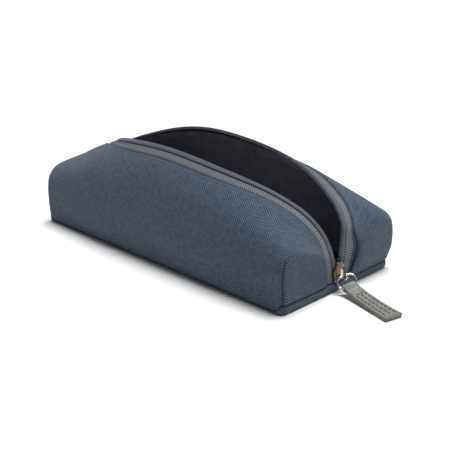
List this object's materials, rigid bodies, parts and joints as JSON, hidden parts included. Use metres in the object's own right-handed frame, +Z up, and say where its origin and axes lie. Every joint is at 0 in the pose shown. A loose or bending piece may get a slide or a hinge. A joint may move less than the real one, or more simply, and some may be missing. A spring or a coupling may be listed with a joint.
{
  "type": "pencil case",
  "caption": "Soft box-shaped zipped pencil case in herringbone fabric, lying unzipped, with a slider, wire ring and leather puller at one end.",
  "frame": {"origin": "centre of the underside of the base", "axes": "+X towards the end where the slider is parked, +Z up out of the mouth, +Y towards the rear"},
  "size_m": [0.2515, 0.097, 0.065],
  "materials": {
    "woven_fabric": "herringbone twill",
    "lining_cloth": "smooth plain cloth",
    "foam": "soft felt padding",
    "board": "matte",
    "zip_tape": "ribbed woven tape",
    "zip_coil": "satin",
    "slider_metal": "polished",
    "stop_metal": "satin",
    "puller_leather": "fine grain",
    "puller_thread": "waxed thread"
  },
  "bodies": {
    "case": {"front_panel": "woven_fabric", "rear_panel": "woven_fabric", "base_panel": "woven_fabric", "front_foam": "foam", "rear_foam": "foam", "base_board": "board", "front_lining": "lining_cloth", "rear_lining": "lining_cloth", "base_lining": "lining_cloth", "front_tape": "zip_tape", "rear_tape": "zip_tape", "front_coil": "zip_coil", "rear_coil": "zip_coil", "front_top_stop": "stop_metal", "rear_top_stop": "stop_metal", "bottom_stop": "stop_metal"},
    "front_zip_end": {"front_tape_end": "zip_tape", "front_coil_end": "zip_coil"},
    "rear_zip_end": {"rear_tape_end": "zip_tape", "rear_coil_end": "zip_coil"},
    "slider": {"slider_body": "slider_metal", "slider_crown": "slider_metal"},
    "pull_ring": {"pull_ring": "slider_metal"},
    "puller": {"puller_leather": "puller_leather", "puller_stitching": "puller_thread"}
  },
  "joints": [
    {"name": "slider_travel", "type": "slide", "parent": "case", "child": "slider", "axis": [-0.0419, 0, 0.9991], "range_m": [0, 0.01]},
    {"name": "front_zip_closing", "type": "hinge", "parent": "case", "child": "front_zip_end", "pos_m": [0.10273, -0.0005, 0.00641], "axis": [-0.9991, 0, -0.0419], "range_deg": [0, 8]},
    {"name": "rear_zip_closing", "type": "hinge", "parent": "case", "child": "rear_zip_end", "pos_m": [0.10273, 0.0005, 0.00641], "axis": [0.9991, 0, 0.0419], "range_deg": [0, 8]},
    {"name": "ring_swing", "type": "hinge", "parent": "slider", "child": "pull_ring", "pos_m": [0.10733, 0, 0.0089], "axis": [-0.4925, -0.8091, -0.3205], "range_deg": [0, 60]},
    {"name": "puller_swing", "type": "hinge", "parent": "pull_ring", "child": "puller", "pos_m": [0.1121, -0.00137, 0.00503], "axis": [-0.4925, -0.8091, -0.3205], "range_deg": [-75, 10]}
  ],
  "couplings": [
    {"joint": "front_zip_closing", "follows": "slider_travel", "rad_per_m": 13.788},
    {"joint": "rear_zip_closing", "follows": "slider_travel", "rad_per_m": 13.788}
  ]
}
